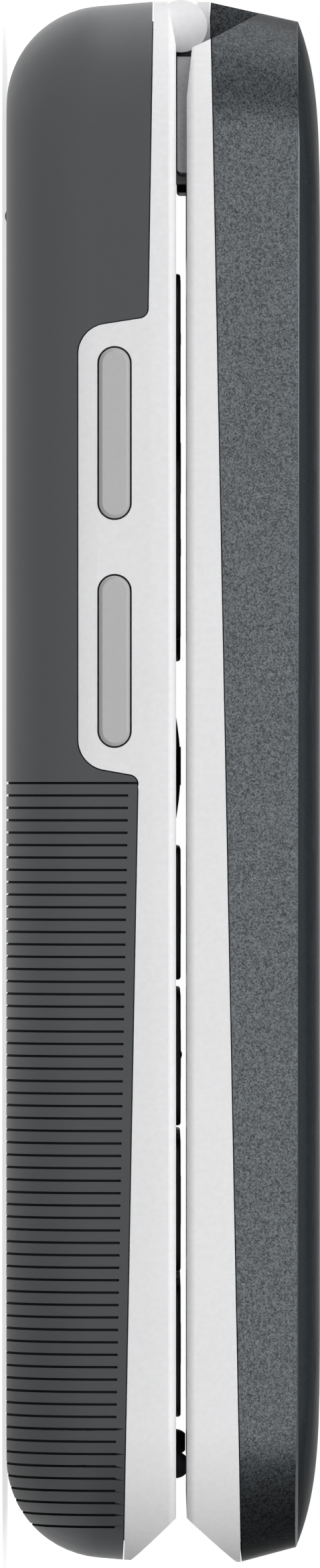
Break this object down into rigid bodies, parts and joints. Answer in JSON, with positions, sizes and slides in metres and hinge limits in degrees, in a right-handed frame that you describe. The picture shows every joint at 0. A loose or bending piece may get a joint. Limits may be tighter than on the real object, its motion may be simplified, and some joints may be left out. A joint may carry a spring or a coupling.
{
  "type": "flip phone",
  "caption": "Compact clamshell phone with a keypad under a hinged domed lid, a ribbed soft-touch back and side volume keys.",
  "frame": {"origin": "under the middle of the shut phone lying on its back, level with the raised dot that it rests on", "axes": "+X towards the charging socket's side (the volume keys are at -X), +Y towards the hinge end, +Z from the back to the lid's top"},
  "size_m": [0.053, 0.102, 0.0208],
  "materials": {
    "frame_plastic": "fine satin moulding",
    "soft_coating": "soft-touch coating",
    "lid_paint": "metallic flake paint",
    "key_dark": "satin key caps",
    "volume_key_grey": "satin",
    "button_rubber": "soft-touch coating",
    "bumper_rubber": "matt",
    "lens_window": "smoked window, high gloss",
    "display_glass": "unlit display panel",
    "flash_diffuser": "frosted",
    "chassis_plastic": "moulded",
    "circuit_board": "solder mask",
    "sheet_metal": "tin plated",
    "spring_steel": "ground",
    "screw_steel": "plated",
    "socket_metal": "plated",
    "mesh_metal": "woven",
    "magnet_metal": "nickel plated",
    "bush_brass": "turned",
    "battery_case": "wrapped",
    "speaker_case": "moulded",
    "clear_film": "clear polyester",
    "flex_film": "polyimide"
  },
  "bodies": {
    "base": {"base_frame": "frame_plastic", "rear_cover": "soft_coating", "chassis": "chassis_plastic", "main_board": "circuit_board", "shield_cans": "sheet_metal", "battery": "battery_case", "sim_holder": "sheet_metal", "dome_sheet": "clear_film", "snap_domes": "spring_steel", "charging_socket": "socket_metal", "loudspeaker": "speaker_case", "microphone": "sheet_metal", "antenna": "chassis_plastic", "vibration_motor": "sheet_metal", "button_switches": "speaker_case", "chassis_screws": "screw_steel", "bumpers": "bumper_rubber", "hinge_pins": "spring_steel"},
    "lid": {"lid_frame": "frame_plastic", "lid_cover": "lid_paint", "display_lens": "lens_window", "main_display": "display_glass", "earpiece": "speaker_case", "earpiece_mesh": "mesh_metal", "lid_board": "circuit_board", "lid_flex": "flex_film", "lid_magnet": "magnet_metal", "outer_window": "lens_window", "outer_display": "display_glass", "camera_module": "speaker_case", "camera_lens": "lens_window", "flash_lens": "flash_diffuser", "lid_screws": "screw_steel", "hinge_cartridge": "spring_steel", "hinge_bush": "bush_brass"},
    "key_1": {"key_1": "key_dark"},
    "key_2": {"key_2": "key_dark"},
    "key_3": {"key_3": "key_dark"},
    "key_4": {"key_4": "key_dark"},
    "key_5": {"key_5": "key_dark"},
    "key_6": {"key_6": "key_dark"},
    "key_7": {"key_7": "key_dark"},
    "key_8": {"key_8": "key_dark"},
    "key_9": {"key_9": "key_dark"},
    "key_star": {"key_star": "key_dark"},
    "key_0": {"key_0": "key_dark"},
    "key_hash": {"key_hash": "key_dark"},
    "quick_key_a": {"quick_key_a": "key_dark"},
    "quick_key_b": {"quick_key_b": "key_dark"},
    "quick_key_c": {"quick_key_c": "key_dark"},
    "soft_key_left": {"soft_key_left": "key_dark"},
    "soft_key_right": {"soft_key_right": "key_dark"},
    "call_key": {"call_key": "key_dark"},
    "end_key": {"end_key": "key_dark"},
    "nav_ring": {"nav_ring": "key_dark"},
    "ok_key": {"ok_key": "key_dark"},
    "volume_up": {"volume_up": "volume_key_grey"},
    "volume_down": {"volume_down": "volume_key_grey"},
    "assistance_button": {"assistance_button": "button_rubber"}
  },
  "joints": [
    {"name": "lid_hinge", "type": "hinge", "parent": "base", "child": "lid", "pos_m": [0, 0.0493, 0.01166], "axis": [-1, 0, 0], "range_deg": [0, 150]},
    {"name": "key_1_press", "type": "slide", "parent": "base", "child": "key_1", "axis": [0, 0, -1], "range_m": [0, 0.00025], "stiffness_N_per_m": 800},
    {"name": "key_2_press", "type": "slide", "parent": "base", "child": "key_2", "axis": [0, 0, -1], "range_m": [0, 0.00025], "stiffness_N_per_m": 800},
    {"name": "key_3_press", "type": "slide", "parent": "base", "child": "key_3", "axis": [0, 0, -1], "range_m": [0, 0.00025], "stiffness_N_per_m": 800},
    {"name": "key_4_press", "type": "slide", "parent": "base", "child": "key_4", "axis": [0, 0, -1], "range_m": [0, 0.00025], "stiffness_N_per_m": 800},
    {"name": "key_5_press", "type": "slide", "parent": "base", "child": "key_5", "axis": [0, 0, -1], "range_m": [0, 0.00025], "stiffness_N_per_m": 800},
    {"name": "key_6_press", "type": "slide", "parent": "base", "child": "key_6", "axis": [0, 0, -1], "range_m": [0, 0.00025], "stiffness_N_per_m": 800},
    {"name": "key_7_press", "type": "slide", "parent": "base", "child": "key_7", "axis": [0, 0, -1], "range_m": [0, 0.00025], "stiffness_N_per_m": 800},
    {"name": "key_8_press", "type": "slide", "parent": "base", "child": "key_8", "axis": [0, 0, -1], "range_m": [0, 0.00025], "stiffness_N_per_m": 800},
    {"name": "key_9_press", "type": "slide", "parent": "base", "child": "key_9", "axis": [0, 0, -1], "range_m": [0, 0.00025], "stiffness_N_per_m": 800},
    {"name": "key_star_press", "type": "slide", "parent": "base", "child": "key_star", "axis": [0, 0, -1], "range_m": [0, 0.00025], "stiffness_N_per_m": 800},
    {"name": "key_0_press", "type": "slide", "parent": "base", "child": "key_0", "axis": [0, 0, -1], "range_m": [0, 0.00025], "stiffness_N_per_m": 800},
    {"name": "key_hash_press", "type": "slide", "parent": "base", "child": "key_hash", "axis": [0, 0, -1], "range_m": [0, 0.00025], "stiffness_N_per_m": 800},
    {"name": "quick_key_a_press", "type": "slide", "parent": "base", "child": "quick_key_a", "axis": [0, 0, -1], "range_m": [0, 0.00025], "stiffness_N_per_m": 800},
    {"name": "quick_key_b_press", "type": "slide", "parent": "base", "child": "quick_key_b", "axis": [0, 0, -1], "range_m": [0, 0.00025], "stiffness_N_per_m": 800},
    {"name": "quick_key_c_press", "type": "slide", "parent": "base", "child": "quick_key_c", "axis": [0, 0, -1], "range_m": [0, 0.00025], "stiffness_N_per_m": 800},
    {"name": "soft_key_left_press", "type": "slide", "parent": "base", "child": "soft_key_left", "axis": [0, 0, -1], "range_m": [0, 0.00025], "stiffness_N_per_m": 800},
    {"name": "soft_key_right_press", "type": "slide", "parent": "base", "child": "soft_key_right", "axis": [0, 0, -1], "range_m": [0, 0.00025], "stiffness_N_per_m": 800},
    {"name": "call_key_press", "type": "slide", "parent": "base", "child": "call_key", "axis": [0, 0, -1], "range_m": [0, 0.00025], "stiffness_N_per_m": 800},
    {"name": "end_key_press", "type": "slide", "parent": "base", "child": "end_key", "axis": [0, 0, -1], "range_m": [0, 0.00025], "stiffness_N_per_m": 800},
    {"name": "nav_ring_press", "type": "slide", "parent": "base", "child": "nav_ring", "axis": [0, 0, -1], "range_m": [0, 0.00025], "stiffness_N_per_m": 800},
    {"name": "ok_key_press", "type": "slide", "parent": "base", "child": "ok_key", "axis": [0, 0, -1], "range_m": [0, 0.00025], "stiffness_N_per_m": 800},
    {"name": "volume_up_press", "type": "slide", "parent": "base", "child": "volume_up", "axis": [1, 0, 0], "range_m": [0, 0.0003], "stiffness_N_per_m": 800},
    {"name": "volume_down_press", "type": "slide", "parent": "base", "child": "volume_down", "axis": [1, 0, 0], "range_m": [0, 0.0003], "stiffness_N_per_m": 800},
    {"name": "assistance_press", "type": "slide", "parent": "base", "child": "assistance_button", "axis": [0, 0, 1], "range_m": [0, 0.0003], "stiffness_N_per_m": 4000, "springref_m": -0.0003}
  ]
}
